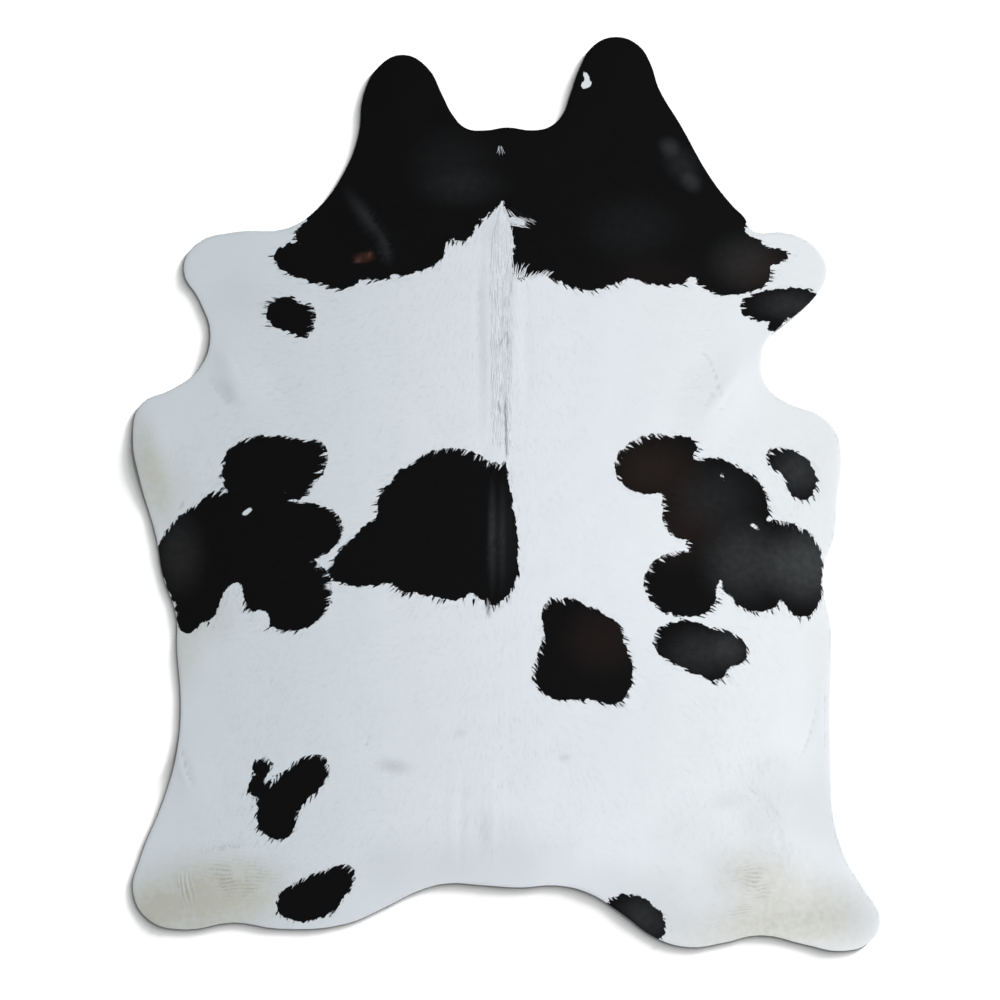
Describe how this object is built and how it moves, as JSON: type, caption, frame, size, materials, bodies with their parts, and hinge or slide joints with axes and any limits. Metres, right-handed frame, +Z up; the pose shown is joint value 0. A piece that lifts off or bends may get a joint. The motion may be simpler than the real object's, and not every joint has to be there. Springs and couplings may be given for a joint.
{
  "type": "cowhide rug",
  "caption": "Flat hair-on cowhide rug cut to the animal's outline, short glossy coat up, suede side down on the floor.",
  "frame": {"origin": "middle of the rug's outline box, on the floor under the skin", "axes": "+Z up out of the hair side, +Y along the spine towards the head end, +X towards the side that is on the right in the picture"},
  "size_m": [1.7999, 2.2, 0.0124],
  "materials": {
    "hide": "tanned skin with a short, smooth white coat in black patches"
  },
  "bodies": {
    "root": {"hide": "hide"}
  },
  "joints": []
}
